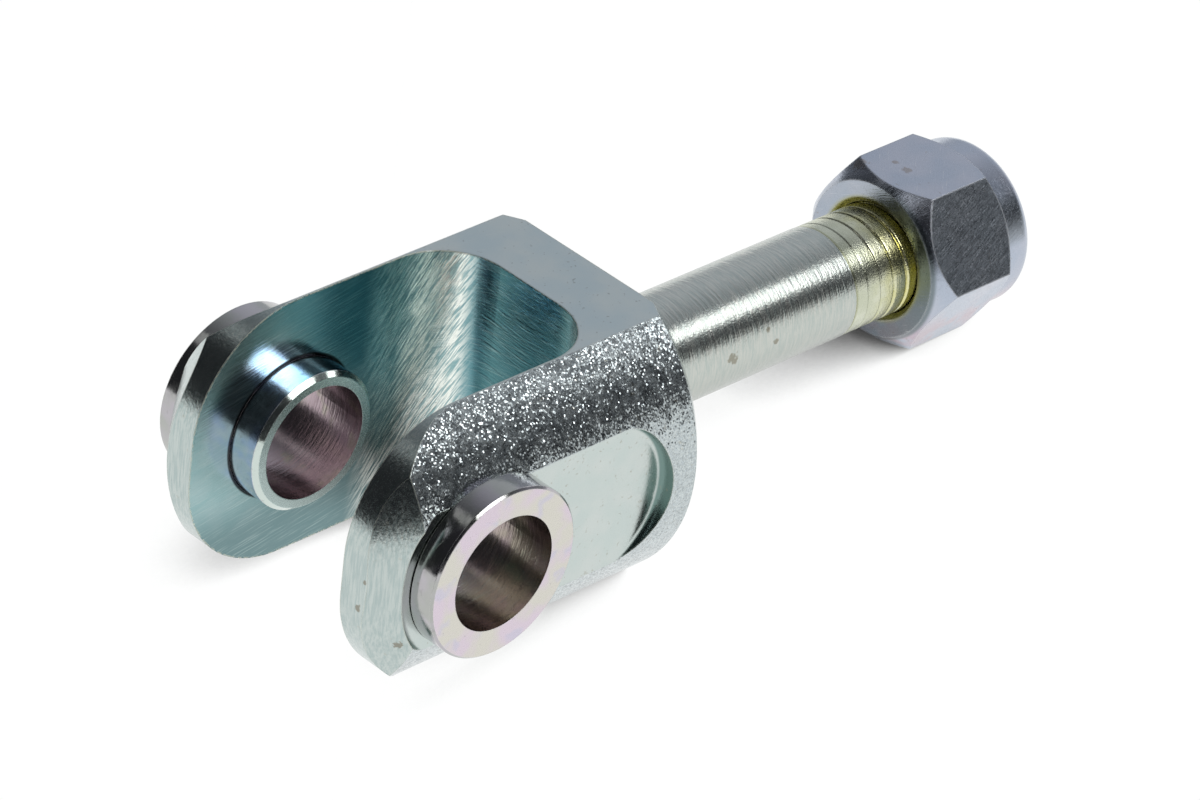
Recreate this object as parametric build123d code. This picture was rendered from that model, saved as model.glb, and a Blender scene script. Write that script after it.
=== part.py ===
from build123d import *
import os

# Clevis rod end with two flanged bushings and a nylon-insert lock nut.
# Millimetres. The origin is on the pin axis, midway between the fork's arms.
# +X runs along the shank, away from the fork. +Y is the pin axis. +Z is square to the fork's flats.

# Driving dimensions

# fork, turned and milled from one round bar
bar_diameter = 38.1
flats_thickness = 30.4
nose_reach = 13.05
nose_radius = 13.0
nose_chamfer = 4.2
shoulder_reach = 28.7
shoulder_chamfer = 1.2
slot_width = 22.6
slot_reach = 20.5
slot_corner_radius = 7.1

# shallow pockets on the outer sides, where the bushing flanges sit
pocket_depth = 1.78
pocket_flange_room = 1.7
pocket_reach = 24.4
pocket_end_radius = 9.7
pocket_floor_radius = 0.8

# shank
shank_diameter = 12.48
shank_length = 55.5
shank_root_chamfer = 0.5
thread_diameter = 12.4
thread_pitch = 25.4 / 13
thread_length = 20.4

# flanged bushings
bushing_bore = 12.8
barrel_wall = 1.475
barrel_standout = 3.8
barrel_end_chamfer = 0.5
flange_diameter = 19.05
flange_thickness = 2.95
flange_edge_break = 0.25
barrel_clearance = 0.06
flange_gap = 0.12

# lock nut and its insert
nut_distance = 43.7
nut_across_flats = 18.7
nut_hex_height = 11.7
nut_collar_height = 3.7
nut_bearing_diameter = 17.6
nut_front_slope = 0.9
nut_back_slope = 1.15
nut_countersink_diameter = 13.8
nut_collar_diameter = 18.5
nut_collar_wall = 1.25
nut_collar_radius = 1.4
nut_lip_height = 0.8
nut_lip_width = 1.0
insert_thickness = 2.5
thread_clearance = 0.1
insert_clearance = 0.05
insert_end_gap = 0.05

# Values that follow from them

bar_radius = bar_diameter / 2
half_thickness = flats_thickness / 2
half_slot = slot_width / 2
pocket_floor = bar_radius - pocket_depth
barrel_radius = bushing_bore / 2 + barrel_wall
arm_bore_radius = barrel_radius + barrel_clearance
flange_radius = flange_diameter / 2
flange_face = pocket_floor + flange_gap + flange_thickness

shank_radius = shank_diameter / 2
thread_radius = thread_diameter / 2
thread_depth = 0.6134 * thread_pitch
shank_end = shoulder_reach + shank_length
thread_start = shank_end - thread_length

nut_face = shoulder_reach + nut_distance
nut_hex_end = nut_face + nut_hex_height
nut_end = nut_hex_end + nut_collar_height
nut_lip = nut_end - nut_lip_height
nut_seat = nut_lip - insert_thickness - 2 * insert_end_gap
nut_bore_radius = thread_radius + thread_clearance
nut_pocket_radius = nut_collar_diameter / 2 - nut_collar_wall


def turned(outline):
    """A solid turned about the X axis from an outline of (x, radius) points."""
    return revolve(make_face(Polyline([(x, r, 0) for x, r in outline], close=True)), Axis.X)


def turned_about_pin(outline):
    """A solid turned about the Y axis from an outline of (y, radius) points."""
    return revolve(make_face(Polyline([(r, y, 0) for y, r in outline], close=True)), Axis.Y)


def disc(radius, start, end):
    """A cylinder about the X axis from start to end."""
    return Pos(start, 0, 0) * extrude(Plane.YZ * Circle(radius), end - start)


def turned_blank():
    """The bar as it leaves the lathe: fork stock, shoulder, shank, and the stretch for the thread."""
    nose = -nose_reach
    outline = [
        (nose, 0),
        (nose, bar_radius - nose_chamfer),
        (nose + nose_chamfer, bar_radius),
        (shoulder_reach - shoulder_chamfer, bar_radius),
        (shoulder_reach, bar_radius - shoulder_chamfer),
        (shoulder_reach, shank_radius + shank_root_chamfer),
        (shoulder_reach + shank_root_chamfer, shank_radius),
        (thread_start, shank_radius),
        (thread_start, thread_radius),
        (shank_end - thread_depth, thread_radius),
        (shank_end, thread_radius - thread_depth),
        (shank_end, 0),
    ]
    return turned(outline)


def side_profile():
    """The fork seen along the pin axis: two flats, and a nose rounded at top and bottom."""
    length = nose_reach + shank_end + 1
    middle = -nose_reach + length / 2
    outline = Plane.XZ * Pos(middle, 0) * Rectangle(length, flats_thickness)
    nose_corners = outline.vertices().sort_by(Axis.X)[:2]
    outline = fillet(nose_corners, nose_radius)
    return extrude(outline, bar_diameter, both=True)


def slot():
    """The gap between the arms, open at the nose, with an end mill's radius in its corners."""
    length = slot_reach + 2 * nose_reach
    middle = slot_reach - length / 2
    outline = Pos(middle, 0) * Rectangle(length, slot_width)
    back_corners = outline.vertices().sort_by(Axis.X)[-2:]
    outline = fillet(back_corners, slot_corner_radius)
    return extrude(outline, flats_thickness, both=True)


def pocket(side):
    """One milled pocket: a spot face around the bushing, opened out towards the shank."""
    around_flange = flange_radius + pocket_flange_room
    run = pocket_reach - pocket_end_radius
    outline = Circle(around_flange)
    outline += Pos(run / 2, 0) * Rectangle(run, 2 * pocket_end_radius)
    outline += Pos(run, 0) * Circle(pocket_end_radius)
    depth = 2 * pocket_depth
    tool = extrude(Plane.XZ * outline, -depth)
    floor_edges = tool.faces().sort_by(Axis.Y)[0].edges()
    tool = Pos(0, pocket_floor, 0) * fillet(floor_edges, pocket_floor_radius)
    return tool if side > 0 else tool.mirror(Plane.XZ)


def make_clevis_body():
    """Fork and shank in one piece, cut in the order a machinist would cut it."""
    body = turned_blank() & side_profile()
    body -= slot()
    for side in (1, -1):
        body -= pocket(side)
    return body - extrude(Plane.XZ * Circle(arm_bore_radius), bar_diameter, both=True)


def make_bushing(side):
    """A flanged bushing: its flange lies in the pocket and its barrel stands out into the slot."""
    bore = bushing_bore / 2
    inner_end = half_slot - barrel_standout
    outline = [
        (inner_end, bore),
        (inner_end, barrel_radius - barrel_end_chamfer),
        (inner_end + barrel_end_chamfer, barrel_radius),
        (pocket_floor + flange_gap, barrel_radius),
        (pocket_floor + flange_gap, flange_radius),
        (flange_face - flange_edge_break, flange_radius),
        (flange_face, flange_radius - flange_edge_break),
        (flange_face, bore),
    ]
    bushing = turned_about_pin(outline)
    return bushing if side > 0 else bushing.mirror(Plane.XZ)


def make_lock_nut():
    """A hexagon with turned chamfers, a round collar closed over the insert, and a stepped hole."""
    bearing_radius = nut_bearing_diameter / 2
    collar_radius = nut_collar_diameter / 2
    front_rise = nut_hex_height * nut_front_slope
    back_rise = nut_hex_height * nut_back_slope
    hexagon = Plane.YZ * RegularPolygon(nut_across_flats / 2, 6, major_radius=False)
    hexagon = Pos(nut_face, 0, 0) * extrude(hexagon, nut_hex_height)
    front = turned([(nut_face, 0), (nut_face, bearing_radius),
                    (nut_hex_end, bearing_radius + front_rise), (nut_hex_end, 0)])
    back = turned([(nut_face, 0), (nut_face, collar_radius + back_rise),
                   (nut_hex_end, collar_radius), (nut_hex_end, 0)])
    collar = disc(collar_radius, nut_hex_end - nut_hex_height / 2, nut_end)
    collar = fillet(collar.edges().sort_by(Axis.X)[-1], nut_collar_radius)
    nut = (hexagon & front & back) + collar

    countersink = nut_countersink_diameter / 2
    countersink_end = nut_face + countersink - nut_bore_radius
    lip_radius = nut_pocket_radius - nut_lip_width
    nut -= turned([(nut_face, 0), (nut_face, countersink), (countersink_end, nut_bore_radius),
                   (nut_seat, nut_bore_radius), (nut_seat, nut_pocket_radius),
                   (nut_lip, nut_pocket_radius), (nut_lip, lip_radius),
                   (nut_end, lip_radius), (nut_end, 0)])
    return nut


def make_nylon_insert():
    """The nylon ring in the collar, bored to what the stud's crests press it out to."""
    start = nut_seat + insert_end_gap
    end = start + insert_thickness
    ring = disc(nut_pocket_radius - insert_clearance, start, end)
    return ring - disc(nut_bore_radius, start, end)


parts = {
    "clevis_body": make_clevis_body(),
    "near_bushing": make_bushing(-1),
    "far_bushing": make_bushing(1),
    "lock_nut": make_lock_nut(),
    "nylon_insert": make_nylon_insert(),
}

os.makedirs("parts", exist_ok=True)
for name, solid in parts.items():
    export_step(solid, f"parts/{name}.step")
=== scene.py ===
import bmesh
import bpy
import math
from mathutils import Matrix, Vector


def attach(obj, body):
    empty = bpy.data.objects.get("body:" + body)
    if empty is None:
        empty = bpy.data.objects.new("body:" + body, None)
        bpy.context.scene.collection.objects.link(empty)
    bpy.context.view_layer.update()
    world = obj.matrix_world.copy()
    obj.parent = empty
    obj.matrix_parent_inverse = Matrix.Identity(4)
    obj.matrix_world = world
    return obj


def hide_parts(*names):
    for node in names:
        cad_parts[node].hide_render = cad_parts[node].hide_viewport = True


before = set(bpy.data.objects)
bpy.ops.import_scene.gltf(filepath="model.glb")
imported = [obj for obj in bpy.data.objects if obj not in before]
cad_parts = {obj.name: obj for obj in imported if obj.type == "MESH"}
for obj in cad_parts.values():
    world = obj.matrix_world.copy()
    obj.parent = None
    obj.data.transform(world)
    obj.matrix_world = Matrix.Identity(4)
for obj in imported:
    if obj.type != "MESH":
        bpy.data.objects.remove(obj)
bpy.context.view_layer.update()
scene = bpy.context.scene
scene.view_settings.view_transform = "Standard"


# Camera
# It stands where the photograph was taken from: in front of the fork, to the left of the
# shank and above it. The image is taken to be 1200 by 800.
image_width = 1200
camera_focal_pixels = 6261.1
camera_place = Vector((-0.365625, -0.365121, 0.344784))
camera_yaw = 0.741702
camera_pitch = -0.571972
camera_roll = 0.123249
farthest_seen = 20

forward = Vector((math.cos(camera_pitch) * math.cos(camera_yaw),
                  math.cos(camera_pitch) * math.sin(camera_yaw),
                  math.sin(camera_pitch)))
level_right = forward.cross(Vector((0, 0, 1))).normalized()
level_up = level_right.cross(forward)
camera_right = math.cos(camera_roll) * level_right + math.sin(camera_roll) * level_up
camera_up = -math.sin(camera_roll) * level_right + math.cos(camera_roll) * level_up

camera_data = bpy.data.cameras.new("camera")
camera_data.sensor_fit = "HORIZONTAL"
camera_data.angle = 2 * math.atan(image_width / 2 / camera_focal_pixels)
camera_data.clip_end = farthest_seen
camera = bpy.data.objects.new("camera", camera_data)
camera.matrix_world = Matrix((
    (camera_right.x, camera_up.x, -forward.x, camera_place.x),
    (camera_right.y, camera_up.y, -forward.y, camera_place.y),
    (camera_right.z, camera_up.z, -forward.z, camera_place.z),
    (0, 0, 0, 1)))
scene.collection.objects.link(camera)
scene.camera = camera


# Table
# A white light table, darker only close to the metal. The rod end lies on the rear lower edge
# of its fork and on the rear edge of its nut, nose raised, so in this frame the table slopes.
fork_rest = (0.0280, -0.0152)
nut_rest = (0.0834, -0.00935)
table_reach = 4.0
gap_under_metal = 0.00002
shade_reach = 0.018
shade_lean = (0.95, -0.95, 0.0)
darkest_glow = 0.05
open_glow = 1.02

table_slope = (nut_rest[1] - fork_rest[1]) / (nut_rest[0] - fork_rest[0])
table_mesh = bpy.data.meshes.new("table")
table_mesh.from_pydata(
    [(x, y, fork_rest[1] + table_slope * (x - fork_rest[0]) - gap_under_metal)
     for x, y in ((-table_reach, -table_reach), (table_reach, -table_reach),
                  (table_reach, table_reach), (-table_reach, table_reach))],
    [], [(0, 1, 2, 3)])
table = bpy.data.objects.new("table", table_mesh)
scene.collection.objects.link(table)


class Recipe:
    """Shader nodes put together in one tree."""

    def __init__(self, tree):
        self.tree = tree

    def node(self, kind, **settings):
        made = self.tree.nodes.new(kind)
        for key, value in settings.items():
            setattr(made, key, value)
        return made

    def feed(self, socket, value):
        """Links a socket to another node's output, or gives it a plain value."""
        if isinstance(value, bpy.types.NodeSocket):
            self.tree.links.new(value, socket)
        else:
            socket.default_value = value

    def reckon(self, kind, *values):
        """A sum on numbers, under the name that the Math node has for it."""
        made = self.node("ShaderNodeMath", operation=kind)
        for socket, value in zip(made.inputs, values):
            self.feed(socket, value)
        return made.outputs[0]

    def plus(self, first, second):
        return self.reckon("ADD", first, second)

    def times(self, first, second):
        return self.reckon("MULTIPLY", first, second)

    def larger(self, first, second):
        return self.reckon("MAXIMUM", first, second)

    def vector(self, kind, *values, scale=None):
        """A sum on vectors. A length, distance or dot product comes out as a number."""
        made = self.node("ShaderNodeVectorMath", operation=kind)
        for socket, value in zip(made.inputs, values):
            self.feed(socket, value)
        if scale is not None:
            self.feed(made.inputs["Scale"], scale)
        gives_number = kind in ("LENGTH", "DISTANCE", "DOT_PRODUCT")
        return made.outputs["Value" if gives_number else "Vector"]

    def noise(self, place, size, detail, rough):
        """Noise with grains of this size, in the place's own units."""
        made = self.node("ShaderNodeTexNoise")
        self.feed(made.inputs["Vector"], place)
        made.inputs["Scale"].default_value = 1 / size
        made.inputs["Detail"].default_value = detail
        made.inputs["Roughness"].default_value = rough
        return made.outputs["Fac"]

    def span(self, value, low, high, out_low=0.0, out_high=1.0, smooth=True):
        """Maps a value from low..high to out_low..out_high, held at both ends."""
        made = self.node("ShaderNodeMapRange")
        made.interpolation_type = "SMOOTHSTEP" if smooth else "LINEAR"
        for socket, given in zip(made.inputs, (value, low, high, out_low, out_high)):
            self.feed(socket, given)
        return made.outputs[0]

    def blend(self, amount, first, second):
        """The first colour, turned into the second by this amount."""
        made = self.node("ShaderNodeMix", data_type="RGBA", blend_type="MIX")
        self.feed(made.inputs[0], amount)
        for socket, colour in ((made.inputs[6], first), (made.inputs[7], second)):
            self.feed(socket, colour if isinstance(colour, bpy.types.NodeSocket) else (*colour, 1))
        return made.outputs[2]


# The shade looks out towards the right soft box, so it falls on the metal's other side.
table_white = bpy.data.materials.new("table_white")
table_white.use_nodes = True
paint = Recipe(table_white.node_tree)
upright = paint.node("ShaderNodeNewGeometry").outputs["Normal"]
near_metal = paint.node("ShaderNodeAmbientOcclusion", samples=24)
near_metal.inputs["Distance"].default_value = shade_reach
paint.feed(near_metal.inputs["Normal"],
           paint.vector("NORMALIZE", paint.vector("ADD", upright, shade_lean)))
clouds = paint.noise(paint.node("ShaderNodeTexCoord").outputs["Object"], 0.06, 3, 0.5)
glow = paint.node("ShaderNodeEmission")
paint.feed(glow.inputs["Color"], paint.blend(clouds, (0.975, 0.985, 0.98), (1.0, 1.0, 1.0)))
paint.feed(glow.inputs["Strength"],
           paint.span(near_metal.outputs["AO"], 0.32, 0.67, darkest_glow, open_glow, smooth=False))
paint.feed(paint.tree.nodes["Material Output"].inputs["Surface"], glow.outputs[0])
table_white.cycles.emission_sampling = "NONE"
table_mesh.materials.append(table_white)


# Studio light
# The metal mirrors the table, a soft box high on its right, a small one close beside the
# shank, two faint ones, and a room that is pale behind and dark in front.
object_middle = (0.03, 0, 0)
pale_side = (0.78, 0.45, 0.43)
pale_narrowness = 2.5
pale_strength = 0.60
dark_strength = 0.026


def soft_box(name, place, aim, width, height, brightness, turn=0.0):
    """A lamp that faces its aim, turned about the line to it, and that the camera doesn't see."""
    data = bpy.data.lights.new(name, "AREA")
    data.shape = "RECTANGLE"
    data.size, data.size_y = width, height
    data.energy = brightness * math.pi * width * height
    lamp = bpy.data.objects.new(name, data)
    place = Vector(place)
    facing = (Vector(aim) - place).to_track_quat("-Z", "Y").to_matrix().to_4x4()
    lamp.matrix_world = Matrix.Translation(place) @ facing @ Matrix.Rotation(turn, 4, "Z")
    lamp.visible_camera = False
    scene.collection.objects.link(lamp)


soft_box("right_box", (0.20, -0.66, 0.78), object_middle, 0.60, 0.32, 6.0)
soft_box("shank_box", (0.0995, -0.0392, 0.0580), (0.050, -0.004, 0.005), 0.030, 0.030, 2.5, turn=-0.76)
soft_box("back_glow", (-0.27, 0.60, 0.74), object_middle, 0.20, 0.20, 0.4)
soft_box("left_glow", (-0.57, 0.05, 0.80), object_middle, 0.26, 0.26, 0.9)

room = bpy.data.worlds.new("room")
room.use_nodes = True
scene.world = room
air = Recipe(room.node_tree)
toward_pale = air.vector("DOT_PRODUCT", air.node("ShaderNodeTexCoord").outputs["Generated"], pale_side)
paleness = air.reckon("POWER", air.larger(toward_pale, 0.0), pale_narrowness)
mirrored = air.reckon("MULTIPLY_ADD", paleness, pale_strength, dark_strength)
backdrop = air.node("ShaderNodeMix", data_type="FLOAT")
air.feed(backdrop.inputs[0], air.node("ShaderNodeLightPath").outputs["Is Camera Ray"])
air.feed(backdrop.inputs[2], mirrored)
air.feed(backdrop.inputs[3], 1.0)
background = room.node_tree.nodes["Background"]
air.feed(background.inputs["Strength"], backdrop.outputs[0])
air.feed(background.inputs["Color"], (0.94, 0.98, 1.06, 1))


# Clevis
# One piece of zinc-plated steel: a bar turned to its shank and nose, milled flat above and
# below, slotted, bored across for the bushings and spot-faced around them. The plating is
# pale and blue-green, darker and grainy where the bar kept its rolled skin.
bar_radius = 0.01905
half_thickness = 0.0152
shoulder = 0.0287
shoulder_chamfer_from = 0.0270
shoulder_chamfer_radius = 0.017
slot_half = 0.0113
slot_back = 0.0205
pocket_floor = 0.01727
bore_radius = 0.008
thread_start = 0.0638


class Finish(Recipe):
    """The finish of one kind of surface. Lengths are metres on the object."""

    def __init__(self, name):
        self.material = bpy.data.materials.new(name)
        self.material.use_nodes = True
        super().__init__(self.material.node_tree)
        self.place = self.node("ShaderNodeTexCoord").outputs["Object"]

    def grain(self, size, detail=2, rough=0.5):
        """Round grains of this size."""
        return self.noise(self.place, size, detail, rough)

    def streaks(self, size, detail, rough, turn=(0, 0, 0)):
        """Grains with a size of their own along X, Y and Z, after the place is turned."""
        turned = self.node("ShaderNodeVectorRotate", rotation_type="EULER_XYZ")
        self.feed(turned.inputs["Vector"], self.place)
        turned.inputs["Rotation"].default_value = turn
        return self.noise(self.vector("DIVIDE", turned.outputs[0], size), 1.0, detail, rough)

    def along(self, axis):
        """How far the place lies along X, Y or Z."""
        apart = self.node("ShaderNodeSeparateXYZ")
        self.feed(apart.inputs[0], self.place)
        return apart.outputs[axis]

    def from_axis(self, across):
        """How far the place lies from an axis. The directions across it are given as 1."""
        return self.vector("LENGTH", self.vector("MULTIPLY", self.place, across))

    def stain(self, middle, radius, ragged=0.0006):
        """A stain of about this radius round a point, with a ragged edge."""
        away = self.vector("DISTANCE", self.place, middle)
        waver = self.times(self.reckon("SUBTRACT", self.grain(ragged), 0.5), 2.2 * radius)
        return self.span(self.plus(away, waver), 0.55 * radius, radius, 1.0, 0.0)

    def stains(self, *each):
        """Stains together, each as (middle, radius) or (middle, radius, raggedness)."""
        covered = self.stain(*each[0])
        for one in each[1:]:
            covered = self.larger(covered, self.stain(*one))
        return covered

    def over(self, colour, tint, where, strength=1.0):
        """A tint laid over a colour where the mask says, and no stronger than this."""
        if strength != 1.0:
            where = self.times(where, strength)
        return self.blend(where, colour, tint)

    def edges(self, radius):
        """The softened normal near edges, and how near an edge is, from 0 to 1."""
        soft = self.node("ShaderNodeBevel", samples=4)
        soft.inputs["Radius"].default_value = radius
        plain = self.node("ShaderNodeNewGeometry").outputs["Normal"]
        alike = self.vector("DOT_PRODUCT", soft.outputs[0], plain)
        return soft.outputs[0], self.span(alike, 1.0, 0.80)

    def bump(self, height, depth, strength, normal=None):
        made = self.node("ShaderNodeBump")
        made.inputs["Strength"].default_value = strength
        made.inputs["Distance"].default_value = depth
        self.feed(made.inputs["Height"], height)
        if normal is not None:
            self.feed(made.inputs["Normal"], normal)
        return made.outputs[0]

    def worn(self, roughness, near_edge, amount=0.42):
        """The roughness raised along worn edges, which then catch light from all round."""
        return self.reckon("MULTIPLY_ADD", near_edge, amount, roughness)

    def done(self, colour, roughness, normal, metallic=1.0):
        shader = self.tree.nodes["Principled BSDF"]
        self.feed(shader.inputs["Base Color"], colour)
        self.feed(shader.inputs["Roughness"], roughness)
        self.feed(shader.inputs["Normal"], normal)
        shader.inputs["Metallic"].default_value = metallic
        return self.material


# The flats above and below, with fine scuffs across them and a few pits.
milled = Finish("clevis_milled_flat")
soft, near_edge = milled.edges(0.00030)
fine = milled.grain(0.00016)
scuffs = milled.streaks((0.0040, 0.00010, 0.01), 2, 0.6, turn=(0, 0, 0.35))
pits = milled.span(milled.grain(0.0005), 0.68, 0.73)
drift = milled.span(milled.grain(0.005, 3), 0.3, 0.7)
colour = milled.blend(drift, (0.53, 0.62, 0.64), (0.60, 0.66, 0.65))
colour = milled.over(colour, (0.74, 0.76, 0.72), milled.span(scuffs, 0.68, 0.80, 0.0, 0.45))
colour = milled.over(colour, (0.26, 0.27, 0.26), pits, 0.5)
colour = milled.over(colour, (0.78, 0.77, 0.66), near_edge, 0.6)
clevis_flat = milled.done(colour,
                          milled.worn(milled.span(fine, 0.3, 0.7, 0.30, 0.38), near_edge, 0.25),
                          milled.bump(milled.plus(fine, scuffs), 0.000006, 0.5, soft))

# The bar's own skin, of small facets that lean every way, so that it sparkles. Those that lean
# most are darker.
facet_size = 0.00017
rolled = Finish("clevis_rolled_skin")
soft, near_edge = rolled.edges(0.0002)
coarse = rolled.grain(0.0012)
specks = rolled.span(rolled.grain(0.0007, 3), 0.66, 0.72)
facets = rolled.node("ShaderNodeTexVoronoi")
rolled.feed(facets.inputs["Vector"], rolled.place)
facets.inputs["Scale"].default_value = 1 / facet_size
tilt = rolled.vector("SUBTRACT", facets.outputs["Color"], (0.5, 0.5, 0.5))
lean = rolled.vector("LENGTH", tilt)
steep = rolled.times(rolled.reckon("POWER", lean, 1.4), 0.58)
leaning = rolled.vector("ADD", soft, rolled.vector("SCALE", tilt, scale=steep))
in_facet = rolled.span(facets.outputs["Distance"], 0.2, 0.7)
colour = rolled.blend(in_facet, (0.64, 0.69, 0.68), (0.54, 0.60, 0.62))
colour = rolled.over(colour, (0.26, 0.29, 0.30), rolled.span(lean, 0.32, 0.75, 0.0, 0.60))
colour = rolled.over(colour, (0.34, 0.30, 0.20), specks, 0.35)
colour = rolled.over(colour, (0.80, 0.80, 0.72), near_edge, 0.5)
clevis_skin = rolled.done(colour,
                          rolled.worn(rolled.span(coarse, 0.35, 0.65, 0.16, 0.24), near_edge, 0.3),
                          rolled.vector("NORMALIZE", leaning))

# The slot's walls. The cutter left slanted strokes in the corners and level rows on the back.
cut = Finish("clevis_slot_wall")
soft, near_edge = cut.edges(0.00036)
x, z = cut.along(0), cut.along(2)
round_wall = cut.reckon("SUBTRACT", x, cut.reckon("ABSOLUTE", cut.along(1)))


def cutter_lines(lean, length, width, seed):
    """Lines along the slot's wall and round its corner, leaning up by this angle."""
    along = cut.plus(cut.times(round_wall, math.cos(lean) / length),
                     cut.times(z, math.sin(lean) / length))
    across = cut.reckon("SUBTRACT", cut.times(z, math.cos(lean) / width),
                        cut.times(round_wall, math.sin(lean) / width))
    place = cut.node("ShaderNodeCombineXYZ")
    for socket, value in zip(place.inputs, (along, across, seed)):
        cut.feed(socket, value)
    return cut.noise(place.outputs[0], 1.0, 2, 0.6)


brush = cutter_lines(0.16, 0.0050, 0.00020, seed=1.0)
strokes = cutter_lines(0.96, 0.0030, 0.00026, seed=2.0)
rows = cutter_lines(-0.10, 0.0060, 0.00024, seed=3.0)
nicks = cut.span(cutter_lines(-0.08, 0.0009, 0.00016, seed=4.0), 0.70, 0.76)
from_pin = cut.from_axis((1, 0, 1))
painted_gap_shade = cut.span(from_pin, bore_radius + 0.00010, bore_radius + 0.00035, 1.0, 0.0)
clear_of_barrel = cut.span(from_pin, bore_radius + 0.0006, bore_radius + 0.0010)
before_corner = cut.span(x, slot_back - 0.0115, slot_back - 0.0090, 1.0, 0.0)
in_corner = cut.times(cut.span(x, slot_back - 0.0120, slot_back - 0.0080),
                      cut.span(x, slot_back - 0.0013, slot_back - 0.0003, 1.0, 0.0))
on_back = cut.span(x, slot_back - 0.0015, slot_back - 0.0002)
high_up = cut.span(cut.plus(cut.times(x, 0.6), cut.times(z, 0.8)), 0.0050, 0.0105)
painted_low_shade = cut.span(z, -0.0115, -0.0040, 1.0, 0.0)
painted_dark_walls = cut.larger(cut.times(high_up, before_corner), on_back)
burr = cut.times(cut.times(near_edge, clear_of_barrel), cut.span(cut.grain(0.0004, 3), 0.38, 0.52))
drift = cut.span(cut.grain(0.004), 0.3, 0.7)
colour = cut.blend(drift, (0.28, 0.46, 0.47), (0.36, 0.51, 0.52))
# Painted shade: the walls darker high up before the corner, and on the back wall.
colour = cut.over(colour, (0.10, 0.27, 0.31), painted_dark_walls, 0.85)
# Painted shade: the walls darker towards the bottom of the slot, between the arms.
colour = cut.over(colour, (0.15, 0.24, 0.25), painted_low_shade, 0.90)
colour = cut.over(colour, (0.56, 0.68, 0.66), cut.span(brush, 0.48, 0.72, 0.0, 0.30))
colour = cut.over(colour, (0.92, 0.96, 0.90), cut.span(strokes, 0.38, 0.58, 0.0, in_corner))
colour = cut.over(colour, (0.42, 0.58, 0.62), cut.span(rows, 0.50, 0.70, 0.0, cut.times(on_back, 0.35)))
colour = cut.over(colour, (0.06, 0.10, 0.10), nicks, cut.times(in_corner, 0.9))
colour = cut.over(colour, (0.90, 0.88, 0.74), burr)
# Painted shade: a near-black ring on the wall round the barrel, where the gap to the bushing is.
colour = cut.over(colour, (0.02, 0.03, 0.03), painted_gap_shade)
marks = cut.plus(cut.times(strokes, in_corner), cut.times(rows, on_back))
clevis_slot = cut.done(colour, cut.worn(cut.span(brush, 0.3, 0.7, 0.15, 0.23), burr, 0.6),
                       cut.bump(cut.plus(cut.times(brush, 0.22), marks), 0.000060, 0.9, soft))

# The turned and rounded nose, and the chamfer round the shoulder, scored across and stained.
faced = Finish("clevis_turned_nose")
soft, near_edge = faced.edges(0.0002)
fine = faced.grain(0.0003, 3)
scores = faced.streaks((0.00026, 0.00026, 0.0036), 3, 0.65)
dents = faced.span(faced.grain(0.0009, 3), 0.68, 0.72)
dirt = faced.stains(((-0.0130, -0.0138, -0.0025), 0.00055),
                    ((-0.0131, -0.0145, 0.0008), 0.00032),
                    ((-0.0100, -0.0168, -0.0066), 0.00060, 0.0003))
colour = faced.blend(faced.span(scores, 0.35, 0.65), (0.42, 0.50, 0.49), (0.54, 0.60, 0.58))
colour = faced.over(colour, (0.40, 0.38, 0.31), dents, 0.3)
colour = faced.over(colour, (0.24, 0.22, 0.17), dirt, 0.8)
colour = faced.over(colour, (0.82, 0.81, 0.68), near_edge, 0.7)
clevis_nose = faced.done(colour, faced.worn(faced.span(fine, 0.3, 0.7, 0.15, 0.24), near_edge),
                         faced.bump(faced.plus(scores, faced.times(fine, 0.4)), 0.000024, 0.9, soft))

# The pockets round the bushings: a fine floor, and a wall with streaks that the cutter's side left,
# darkened with painted shade.
spot_faced = Finish("clevis_spot_face")
soft, near_edge = spot_faced.edges(0.00025)
fine = spot_faced.grain(0.00022, 3)
flow = spot_faced.streaks((0.00018, 0.00010, 0.0030), 3, 0.6, turn=(0, 0.25, 0))
pits = spot_faced.span(spot_faced.grain(0.0005), 0.66, 0.71)
outward = spot_faced.reckon("ABSOLUTE", spot_faced.along(1))
on_wall = spot_faced.span(outward, pocket_floor + 0.00001, pocket_floor + 0.00017)
drift = spot_faced.span(spot_faced.grain(0.003), 0.3, 0.7)
colour = spot_faced.blend(drift, (0.55, 0.62, 0.60), (0.59, 0.64, 0.62))
# Painted shade: the pocket's wall made dark.
colour = spot_faced.over(colour, (0.16, 0.25, 0.23), on_wall, 0.97)
colour = spot_faced.over(colour, (0.34, 0.31, 0.24), pits, 0.35)
colour = spot_faced.over(colour, (0.82, 0.81, 0.70), near_edge, 0.4)
relief = spot_faced.plus(spot_faced.times(fine, 0.3), spot_faced.times(flow, on_wall))
clevis_pocket = spot_faced.done(
    colour, spot_faced.worn(spot_faced.span(fine, 0.3, 0.7, 0.17, 0.24), near_edge, 0.3),
    spot_faced.bump(relief, 0.000020, 0.9, soft))

# The shank, the shoulder's face and the bores, with the lathe's rings and three stains, and painted
# shade on the underside.
lathed = Finish("clevis_turned_shank")
soft, near_edge = lathed.edges(0.00015)
rings = lathed.streaks((0.00030, 0.0022, 0.0022), 3, 0.7)
feed_marks = lathed.streaks((0.00045, 0.0150, 0.0150), 2, 0.6)
fine = lathed.grain(0.00022)
dirt = lathed.stains(((0.0455, -0.0062, 0.0006), 0.00080),
                     ((0.0519, -0.0062, 0.0005), 0.00045),
                     ((0.0507, -0.0059, 0.0021), 0.00040))
painted_underside_shade = lathed.span(lathed.along(2), -0.0045, 0.0010, 0.75, 0.0)
colour = lathed.blend(lathed.span(rings, 0.35, 0.65), (0.48, 0.53, 0.50), (0.57, 0.59, 0.55))
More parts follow.
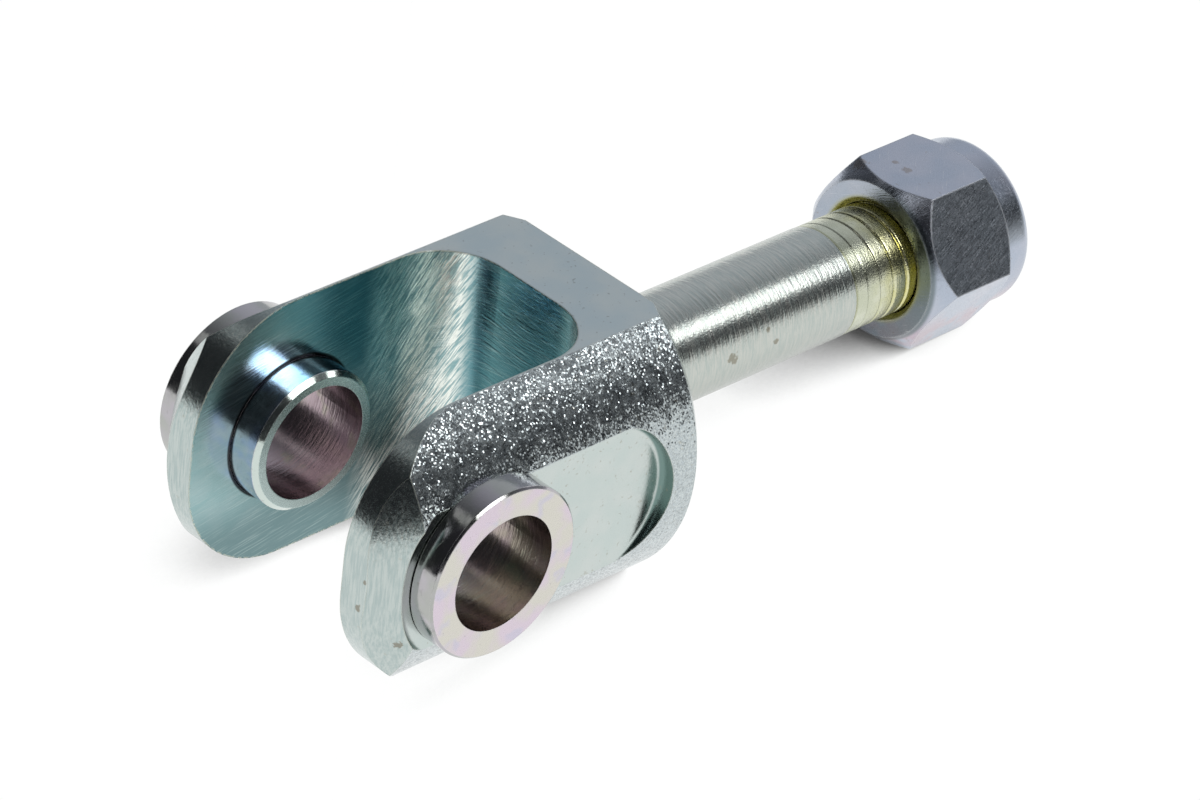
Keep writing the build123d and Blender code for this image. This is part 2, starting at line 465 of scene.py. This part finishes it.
# Painted shade: darker on the shank's underside.
colour = lathed.over(colour, (0.36, 0.38, 0.35), painted_underside_shade)
colour = lathed.over(colour, (0.24, 0.22, 0.16), dirt, 0.75)
colour = lathed.over(colour, (0.82, 0.81, 0.70), near_edge, 0.6)
relief = lathed.plus(rings, lathed.plus(feed_marks, lathed.times(fine, 0.35)))
clevis_shank = lathed.done(colour, lathed.worn(lathed.span(fine, 0.3, 0.7, 0.19, 0.26), near_edge),
                           lathed.bump(relief, 0.000052, 0.9, soft))

clevis_finishes = [clevis_flat, clevis_skin, clevis_slot, clevis_nose, clevis_pocket, clevis_shank]
FLAT, SKIN, SLOT, NOSE, POCKET, SHANK = range(6)
near_enough = 0.0001
skin_tolerance = 0.00005
square_on = 0.98


def clevis_zone(middle, normal):
    """Which finish a face of the clevis has, from its middle and its normal."""
    x, y, z = middle
    from_shank_axis = math.hypot(y, z)
    faces_inward = abs(normal.y) > 0.5 and y * normal.y < 0
    faces_mouth = normal.x < -0.2 and x > 0
    if x > shoulder - near_enough:
        return SHANK
    if math.hypot(x, z) < bore_radius and abs(normal.y) < 0.5:
        return SHANK
    if abs(normal.z) > square_on and abs(z) > half_thickness - near_enough:
        return FLAT
    if abs(y) < slot_half + near_enough and (faces_inward or faces_mouth):
        return SLOT
    if x > shoulder_chamfer_from and normal.x > 0.3 and from_shank_axis > shoulder_chamfer_radius:
        return NOSE
    if from_shank_axis > bar_radius - skin_tolerance:
        return SKIN
    if abs(normal.y) > square_on and abs(abs(y) - pocket_floor) < near_enough:
        return POCKET
    if normal.x < -0.1 and x < 0:
        return NOSE
    return POCKET


def dress(mesh, finishes, zone=None):
    """Gives a mesh its finishes, and each face the one that its zone has."""
    mesh.materials.clear()
    for finish in finishes:
        mesh.materials.append(finish)
    if zone is not None:
        for face in mesh.polygons:
            face.material_index = zone(face.center, face.normal)


clevis_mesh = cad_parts["clevis_body"].data.copy()
clevis_mesh.name = "clevis_steel"
dress(clevis_mesh, clevis_finishes, clevis_zone)
clevis = bpy.data.objects.new("clevis_steel", clevis_mesh)
scene.collection.objects.link(clevis)

trimmed = bmesh.new()
trimmed.from_mesh(clevis_mesh)
threaded = [face for face in trimmed.faces if face.calc_center_median().x > thread_start]
bmesh.ops.delete(trimmed, geom=threaded, context="FACES")
trimmed.to_mesh(clevis_mesh)
trimmed.free()
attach(clevis, "clevis")
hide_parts("clevis_body")


# Thread
# The shank's rolled thread, half an inch at thirteen turns to the inch, in the same steel. It
# is shallow over its first turns, its end is chamfered, and its plating is yellow-green.
inch = 0.0254
pitch = inch / 13
thread_end = 0.0842
crest_radius = 0.0062
crest_rounding = 0.00008
full_depth = 0.6134 * pitch
shallow_turns = 4.4
first_depth = 0.05
early_gain = 0.29
late_gain = 0.80
steps_round = 96
merge_distance = 0.000004

# The outline's points along one turn lie closest together at the bottom of the groove.
points_along = [0.0, 0.08, 0.16, 0.24, 0.31, 0.37, 0.42, 0.46,
                0.50, 0.54, 0.58, 0.63, 0.69, 0.76, 0.84, 0.92]


def cut_below_crest(place, phase):
    """How deep the sixty degree groove is here. Its middle is at a phase of a half."""
    run = (place - thread_start) / (shallow_turns * pitch)
    depth = full_depth * min(first_depth + early_gain * run + late_gain * max(run - 1, 0.0), 1.0)
    from_middle = abs(phase % 1.0 - 0.5) * pitch
    flank = depth - from_middle * math.sqrt(3)
    if flank > crest_rounding:
        return flank
    return max(flank + crest_rounding, 0.0) ** 2 / (4 * crest_rounding)


turns = math.ceil((thread_end - thread_start) / pitch) + 2
columns = [turn + part for turn in range(-1, turns) for part in points_along]
verts = []
for j in range(steps_round):
    around = j / steps_round
    angle = 2 * math.pi * j / steps_round
    for column in columns:
        x = thread_start + pitch * (column + around)
        held = min(max(x, thread_start), thread_end)
        radius = crest_radius - cut_below_crest(held, (held - thread_start) / pitch - around)
        radius = min(radius, crest_radius - full_depth + (thread_end - held))
        verts.append((held, radius * math.cos(angle), radius * math.sin(angle)))

# Each line of points joins the next. The last joins the first, one turn further along.
quads = []
across = len(columns)
for j in range(steps_round):
    closing = j == steps_round - 1
    here = j * across
    ahead = len(points_along) if closing else here + across
    joined = across - len(points_along) if closing else across
    for k in range(joined - 1):
        quads.append((here + k, here + k + 1, ahead + k + 1, ahead + k))
thread_mesh = bpy.data.meshes.new("shank_thread")
thread_mesh.from_pydata(verts, [], quads)

# Points held at either end of the thread fall together and are merged, and the end is closed.
built = bmesh.new()
built.from_mesh(thread_mesh)
bmesh.ops.remove_doubles(built, verts=built.verts, dist=merge_distance)
bmesh.ops.dissolve_degenerate(built, dist=merge_distance / 2, edges=built.edges)
at_end = thread_end - 0.00001
rim = [edge for edge in built.edges if edge.is_boundary and all(v.co.x > at_end for v in edge.verts)]
hub = built.verts.new((thread_end, 0, 0))
for edge in rim:
    built.faces.new((edge.verts[0], edge.verts[1], hub))
bmesh.ops.recalc_face_normals(built, faces=built.faces)
for face in built.faces:
    face.smooth = True
built.to_mesh(thread_mesh)
built.free()
thread = bpy.data.objects.new("shank_thread", thread_mesh)
scene.collection.objects.link(thread)

yellowed = Finish("thread_yellow_zinc")
rings = yellowed.streaks((0.00026, 0.0020, 0.0020), 3, 0.6)
fine = yellowed.grain(0.00018)
x, z = yellowed.along(0), yellowed.along(2)
toward_nut = yellowed.span(x, 0.0650, 0.0730)
start_line = yellowed.span(x, thread_start, thread_start + 0.0005, 1.0, 0.0)
painted_underside_shade = yellowed.span(z, -0.0055, -0.0010, 0.45, 0.0)
drift = yellowed.span(yellowed.grain(0.002, 3), 0.35, 0.7, 0.0, 0.6)
colour = yellowed.blend(toward_nut, (0.56, 0.59, 0.46), (0.76, 0.72, 0.32))
colour = yellowed.over(colour, (0.70, 0.72, 0.60), drift)
# Painted shade: darker on the thread's underside.
colour = yellowed.over(colour, (0.38, 0.40, 0.28), painted_underside_shade)
colour = yellowed.over(colour, (0.26, 0.27, 0.13), start_line, 0.7)
dress(thread_mesh, [yellowed.done(colour, yellowed.span(fine, 0.3, 0.7, 0.20, 0.28),
                                  yellowed.bump(yellowed.plus(rings, fine), 0.000030, 0.9))])
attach(thread, "clevis")


# Bushings
# Two flanged steel bushings, turned and zinc plated, set in the arms with the flange outside.
# The plating on them shows faint pink, lavender and yellow-green.
barrel_end_place = 0.0080
barrel_colour_to = 0.0125
rim_colour_from = 0.0150
bushing_bore_reach = 0.00645

# The flange's face and the barrel's end.
flat_ended = Finish("bushing_flange")
soft, near_edge = flat_ended.edges(0.00015)
film = flat_ended.span(flat_ended.grain(0.0035), 0.38, 0.62)
lavender = flat_ended.span(flat_ended.grain(0.0025), 0.55, 0.70, 0.0, 0.7)
fine = flat_ended.grain(0.0002)
pits = flat_ended.span(flat_ended.grain(0.0006), 0.70, 0.74)
from_middle = flat_ended.reckon("ABSOLUTE", flat_ended.along(1))
barrel_end = flat_ended.span(from_middle, barrel_end_place, barrel_end_place + 0.0002, 1.0, 0.0)
colour = flat_ended.blend(film, (0.68, 0.59, 0.67), (0.66, 0.64, 0.58))
colour = flat_ended.over(colour, (0.58, 0.56, 0.68), lavender)
colour = flat_ended.over(colour, (0.34, 0.32, 0.34), pits, 0.4)
colour = flat_ended.over(colour, (0.86, 0.84, 0.82), near_edge, 0.6)
colour = flat_ended.over(colour, (0.56, 0.68, 0.66), barrel_end)
bushing_face = flat_ended.done(
    colour, flat_ended.worn(flat_ended.span(fine, 0.3, 0.7, 0.22, 0.30), near_edge, 0.2),
    flat_ended.bump(fine, 0.000005, 0.5, soft))

# The barrel and the flange's rim, bright and a little bruised.
bright = Finish("bushing_turned")
soft, near_edge = bright.edges(0.00015)
rings = bright.streaks((0.0030, 0.00030, 0.0030), 3, 0.6)
bruises = bright.grain(0.0009, 3, 0.6)
film = bright.grain(0.003)
from_middle = bright.reckon("ABSOLUTE", bright.along(1))
on_barrel = bright.span(from_middle, barrel_colour_to, rim_colour_from, 1.0, 0.0)
end_chamfer = bright.span(from_middle, barrel_end_place - 0.00005, barrel_end_place + 0.00005, 1.0, 0.0)
rim_colour = bright.blend(bright.span(film, 0.35, 0.65), (0.43, 0.44, 0.42), (0.48, 0.46, 0.49))
barrel_colour = bright.blend(bright.span(film, 0.42, 0.60), (0.74, 0.70, 0.76), (0.62, 0.62, 0.84))
colour = bright.blend(on_barrel, rim_colour, barrel_colour)
colour = bright.over(colour, (0.60, 0.68, 0.64), end_chamfer)
colour = bright.over(colour, (0.30, 0.29, 0.30), bright.span(bruises, 0.60, 0.72, 0.0, 0.35))
colour = bright.over(colour, (0.84, 0.84, 0.80), near_edge, 0.6)
bushing_side = bright.done(
    colour, bright.worn(bright.span(bruises, 0.35, 0.65, 0.10, 0.18), near_edge),
    bright.bump(bright.plus(bruises, bright.times(rings, 0.25)), 0.000012, 0.9, soft))

# The bore, with the reamer's rings. The far bushing's is pinker.
bored = Finish("bushing_bore")
rings = bored.streaks((0.0030, 0.00030, 0.0030), 3, 0.6)
film = bored.span(bored.grain(0.0035), 0.38, 0.62)
greenish = bored.span(bored.grain(0.003), 0.52, 0.68, 0.0, 0.7)
far_side = bored.span(bored.along(1), -0.004, 0.004)
colour = bored.blend(far_side, (0.47, 0.42, 0.35), (0.50, 0.42, 0.44))
colour = bored.over(colour, (0.46, 0.36, 0.40), film, 0.7)
colour = bored.over(colour, (0.48, 0.47, 0.37), greenish)
bushing_bore = bored.done(colour, bored.span(rings, 0.3, 0.7, 0.18, 0.26),
                          bored.bump(rings, 0.000045, 0.9))

FACE, SIDE, BORE = range(3)


def bushing_zone(middle, normal):
    """Which finish a face of a bushing has."""
    if math.hypot(middle.x, middle.z) < bushing_bore_reach and abs(normal.y) < 0.5:
        return BORE
    return FACE if abs(normal.y) > 0.9 else SIDE


for name in ("near_bushing", "far_bushing"):
    dress(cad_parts[name].data, [bushing_face, bushing_side, bushing_bore], bushing_zone)


# Lock nut
# A zinc-plated steel hexagon nut, cold formed, its front chamfered and its back drawn up into
# a round collar that is rolled in over the nylon ring.
just_behind_face = 0.0726
upper_near_flat = (0.0, -0.866, 0.5)

plated = Finish("nut_zinc")
soft, near_edge = plated.edges(0.0003)
x, y, z = plated.along(0), plated.along(1), plated.along(2)
drift = plated.grain(0.004)
fine = plated.grain(0.0003, 3, 0.7)
scratches = plated.streaks((0.0022, 0.0022, 0.00007), 2, 0.6, turn=(0.5, 0.4, 0))
below = plated.span(z, -0.0070, -0.0020, 1.0, 0.0)
painted_reflection_in_mouth = plated.span(plated.from_axis((0, 1, 1)), 0.0066, 0.0074, 1.0, 0.0)
on_face = plated.span(x, just_behind_face, just_behind_face + 0.0004, 1.0, 0.0)
shade = plated.times(on_face, plated.span(y, -0.0090, 0.0040, 0.85, 0.25))
facing = plated.node("ShaderNodeNewGeometry").outputs["Normal"]
# Painted shade on the flat that faces up and to the near side.
painted_dark_flat = plated.span(plated.vector("DOT_PRODUCT", facing, upper_near_flat), 0.94, 0.99, 0.0, 0.8)
dirt = plated.larger(plated.stains(((0.0766, 0.0006, 0.0093), 0.00060),
                                   ((0.0768, 0.0023, 0.0093), 0.00045),
                                   ((0.0738, 0.0045, 0.0090), 0.00110)),
                     plated.span(plated.grain(0.0008, 3), 0.69, 0.73, 0.0, 0.7))
colour = plated.blend(plated.span(drift, 0.35, 0.65), (0.45, 0.50, 0.59), (0.50, 0.53, 0.61))
colour = plated.over(colour, (0.52, 0.44, 0.50), below, plated.span(drift, 0.4, 0.6))
colour = plated.over(colour, (0.16, 0.20, 0.21), shade)
# Painted shade: that flat made darker.
colour = plated.over(colour, (0.27, 0.30, 0.33), painted_dark_flat)
# Painted reflection: the mouth and countersink tinted yellow, as the thread inside shows in them.
colour = plated.over(colour, (0.40, 0.39, 0.17), painted_reflection_in_mouth, 0.85)
colour = plated.over(colour, (0.28, 0.23, 0.19), dirt, 0.55)
colour = plated.over(colour, (0.74, 0.75, 0.77), plated.span(scratches, 0.66, 0.74, 0.0, 0.5))
colour = plated.over(colour, (0.84, 0.84, 0.86), near_edge, 0.6)
relief = plated.plus(plated.times(fine, 0.35), scratches)
nut_zinc = plated.done(colour, plated.worn(plated.span(fine, 0.3, 0.7, 0.17, 0.28), near_edge, 0.36),
                       plated.bump(relief, 0.000022, 0.8, soft))
dress(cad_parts["lock_nut"].data, [nut_zinc])


# Nylon ring
# A plain moulded ring of white nylon, closed into the nut's collar. The stud's thread presses
# its own way through it when the nut is run on, and the ring then keeps the nut from turning.
nylon = Finish("nylon_ring")
grain = nylon.grain(0.0006, 3)
colour = nylon.blend(grain, (0.80, 0.79, 0.74), (0.88, 0.87, 0.82))
nylon_white = nylon.done(colour, nylon.span(grain, 0.3, 0.7, 0.40, 0.55),
                         nylon.bump(grain, 0.00003, 0.4), metallic=0.0)
dress(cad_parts["nylon_insert"].data, [nylon_white])
